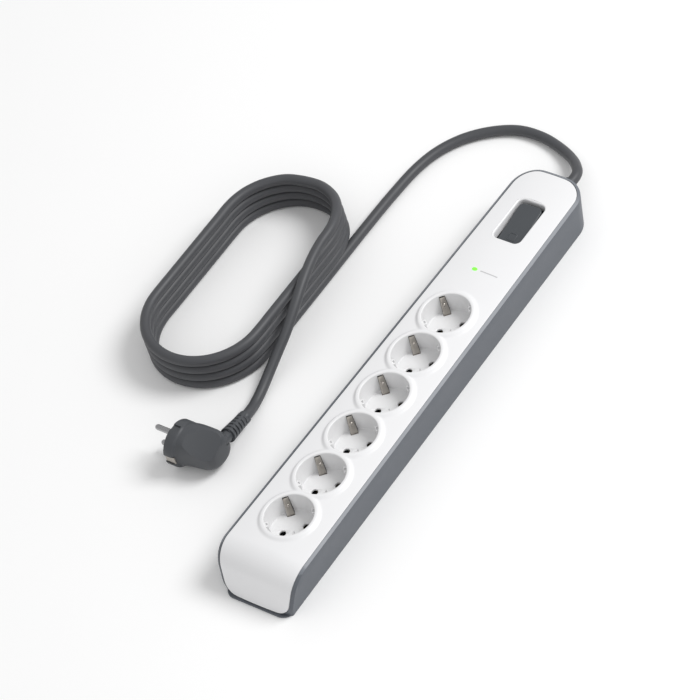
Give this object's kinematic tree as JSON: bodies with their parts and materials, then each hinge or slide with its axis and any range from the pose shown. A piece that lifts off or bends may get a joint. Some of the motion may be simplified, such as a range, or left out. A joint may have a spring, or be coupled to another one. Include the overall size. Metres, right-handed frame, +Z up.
{
  "type": "power strip",
  "caption": "Long mains power strip with earthed round sockets in a row, a rocker switch, an indicator light, a coiled cord and an angled plug.",
  "frame": {"origin": "bottom centre of the strip (cord and plug left out), on the surface it rests on", "axes": "+Z up, +Y along the strip towards the switch and the cord, +X to the right seen from the nose"},
  "size_m": [0.2852, 0.504, 0.045],
  "materials": {
    "panel_white": "satin white moulding",
    "cup_white": "satin white moulding",
    "tub_grey": "fine matt slate grey",
    "rocker_grey": "smooth dark grey",
    "cord_grey": "soft matt grey sheath",
    "plug_grey": "matt grey moulding",
    "plated_steel": "warm plated spring steel",
    "screw_steel": "zinc plated",
    "pin_nickel": "nickel plated",
    "contact_brass": "bare brass",
    "switch_black": "black moulding",
    "carrier_plastic": "natural moulding",
    "board_green": "solder mask",
    "varistor_blue": "dipped epoxy",
    "fuse_silver": "bright can",
    "led_resin": "tinted resin",
    "lens_green": "clear tinted light guide",
    "core_brown": "wire insulation",
    "core_blue": "wire insulation",
    "core_green": "wire insulation"
  },
  "bodies": {
    "strip": {"top_cover": "panel_white", "housing_tub": "tub_grey", "socket_cup_1": "cup_white", "earth_clip_1": "plated_steel", "housing_screw_1": "screw_steel", "socket_cup_2": "cup_white", "earth_clip_2": "plated_steel", "housing_screw_2": "screw_steel", "socket_cup_3": "cup_white", "earth_clip_3": "plated_steel", "housing_screw_3": "screw_steel", "socket_cup_4": "cup_white", "earth_clip_4": "plated_steel", "housing_screw_4": "screw_steel", "socket_cup_5": "cup_white", "earth_clip_5": "plated_steel", "housing_screw_5": "screw_steel", "socket_cup_6": "cup_white", "earth_clip_6": "plated_steel", "housing_screw_6": "screw_steel", "line_rail": "contact_brass", "neutral_rail": "contact_brass", "earth_rail": "contact_brass", "terminal_line_in": "contact_brass", "terminal_line_out": "contact_brass", "terminal_neutral_in": "contact_brass", "terminal_neutral_out": "contact_brass", "rail_carrier": "carrier_plastic", "surge_board": "board_green", "varistor_1": "varistor_blue", "varistor_2": "varistor_blue", "varistor_3": "varistor_blue", "thermal_fuse": "fuse_silver", "status_led": "led_resin", "led_lens": "lens_green", "switch_body": "switch_black", "cord_gland": "cord_grey", "cord_feed": "cord_grey", "cord_hank": "cord_grey", "cord_tail": "cord_grey", "core_line": "core_brown", "lead_line": "core_brown", "core_neutral": "core_blue", "lead_neutral": "core_blue", "core_earth": "core_green", "plug_strain_relief": "plug_grey", "plug_body": "plug_grey", "plug_pin_1": "pin_nickel", "plug_pin_2": "pin_nickel", "plug_earth_near": "plated_steel", "plug_earth_far": "plated_steel"},
    "rocker": {"rocker": "rocker_grey"},
    "contact_line": {"contact_plate_line": "contact_brass"},
    "contact_neutral": {"contact_plate_neutral": "contact_brass"}
  },
  "joints": [
    {"name": "rocker_hinge", "type": "hinge", "parent": "strip", "child": "rocker", "pos_m": [0, 0.167, 0.0285], "axis": [-1, 0, 0], "range_deg": [0, 16.8]},
    {"name": "contact_line_hinge", "type": "hinge", "parent": "strip", "child": "contact_line", "pos_m": [-0.006, 0.167, 0.016], "axis": [-1, 0, 0], "range_deg": [-12, 0]},
    {"name": "contact_neutral_hinge", "type": "hinge", "parent": "strip", "child": "contact_neutral", "pos_m": [0.006, 0.167, 0.016], "axis": [-1, 0, 0], "range_deg": [-12, 0]}
  ],
  "couplings": [
    {"joint": "contact_line_hinge", "follows": "rocker_hinge", "ratio": -0.714},
    {"joint": "contact_neutral_hinge", "follows": "rocker_hinge", "ratio": -0.714}
  ]
}
